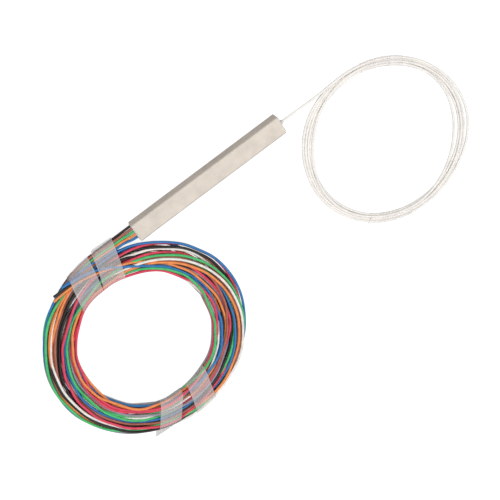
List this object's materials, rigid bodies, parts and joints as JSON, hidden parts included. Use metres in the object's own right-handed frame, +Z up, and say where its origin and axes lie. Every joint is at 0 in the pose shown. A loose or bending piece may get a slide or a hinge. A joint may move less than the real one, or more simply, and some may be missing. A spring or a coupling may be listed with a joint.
{
  "type": "plc fibre splitter",
  "caption": "Bare planar-waveguide fibre splitter in a slim rectangular steel tube, with a coil of natural input lead and a taped coil of colour-coded output leads.",
  "frame": {"origin": "centre of the steel tube's underside", "axes": "+X along the steel tube from the input end to the output end, +Y towards the two coils, +Z up"},
  "size_m": [0.1721, 0.0757, 0.0044],
  "materials": {
    "steel": "satin",
    "sealant": "cast, slightly glossy",
    "silica": "polished",
    "core": "polished",
    "silicone": "soft matt",
    "fibre": "lacquered",
    "ribbon": "lacquered",
    "tube_natural": "smooth extruded",
    "bundle": "smooth extruded, mixed colours",
    "film": "clear adhesive tape",
    "tube_blue": "smooth extruded",
    "tube_orange": "smooth extruded",
    "tube_green": "smooth extruded",
    "tube_brown": "smooth extruded",
    "tube_slate": "smooth extruded",
    "tube_white": "smooth extruded",
    "tube_red": "smooth extruded",
    "tube_black": "smooth extruded"
  },
  "bodies": {
    "root": {"housing_tube": "steel", "input_seal": "sealant", "output_seal": "sealant", "input_bead": "sealant", "splitter_chip": "silica", "waveguide_core": "core", "chip_lid_input": "silica", "chip_lid_output": "silica", "input_fibre_block": "silica", "output_fibre_block": "silica", "input_block_lid": "silica", "output_block_lid": "silica", "input_cushion": "silicone", "output_cushion": "silicone", "ribbon_jacket": "ribbon", "fibre_input": "fibre", "lead_input": "tube_natural", "input_coil": "tube_natural", "output_coil": "bundle", "fibre_blue": "tube_blue", "lead_blue": "tube_blue", "fibre_orange": "tube_orange", "lead_orange": "tube_orange", "fibre_green": "tube_green", "lead_green": "tube_green", "fibre_brown": "tube_brown", "lead_brown": "tube_brown", "fibre_slate": "tube_slate", "lead_slate": "tube_slate", "fibre_white": "tube_white", "lead_white": "tube_white", "fibre_red": "tube_red", "lead_red": "tube_red", "fibre_black": "tube_black", "lead_black": "tube_black", "tail_orange": "tube_orange", "tail_black": "tube_black", "tail_blue": "tube_blue", "tie_lower_left": "film", "tie_lower_right": "film", "tie_upper_left": "film", "tie_upper_right": "film", "wrap_lower_1": "film", "wrap_lower_2": "film", "wrap_lower_3": "film", "wrap_upper_1": "film", "wrap_upper_2": "film", "wrap_upper_3": "film"}
  },
  "joints": []
}
